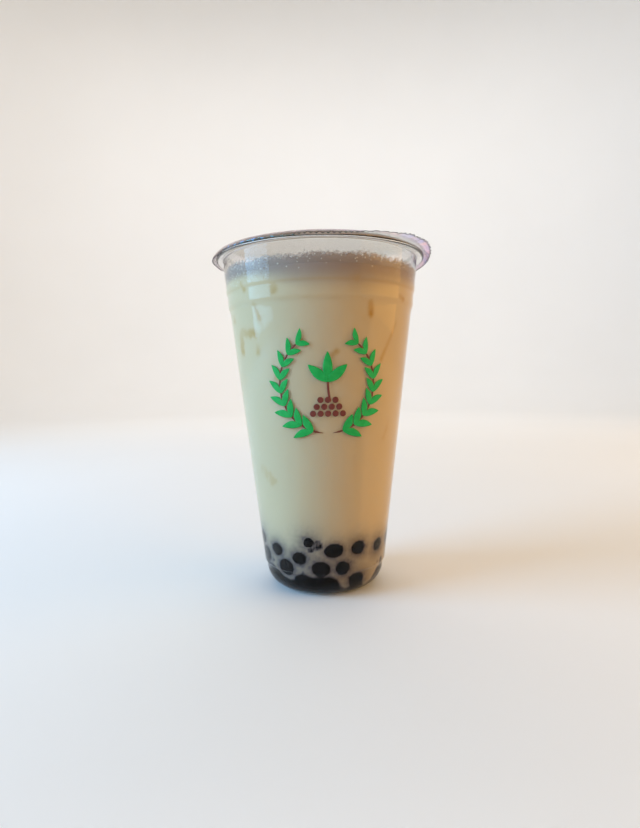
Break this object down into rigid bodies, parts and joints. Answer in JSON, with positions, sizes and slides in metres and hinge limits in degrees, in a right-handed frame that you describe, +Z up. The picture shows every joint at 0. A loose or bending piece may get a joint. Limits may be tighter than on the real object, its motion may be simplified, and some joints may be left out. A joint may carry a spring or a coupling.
{
  "type": "bubble tea",
  "caption": "Milk tea with black tapioca pearls in a tall tapered clear plastic cup, shut by a heat-sealed clear film.",
  "frame": {"origin": "centre of the cup's standing plane, under the middle of the sealed rim", "axes": "+Z up along the cup's axis, from the base to the sealed rim; -Y is the front that the picture shows, +X its right"},
  "size_m": [0.0975, 0.0995, 0.1521],
  "materials": {
    "clear_plastic": "clear, glossy",
    "clear_film": "clear, glossy film",
    "milk_tea": "opaque creamy liquid, pale beige",
    "tapioca": "smooth, shiny, near-black"
  },
  "bodies": {
    "root": {"cup": "clear_plastic", "seal_film": "clear_film", "milk_tea": "milk_tea", "tapioca_pearls": "tapioca"}
  },
  "joints": []
}
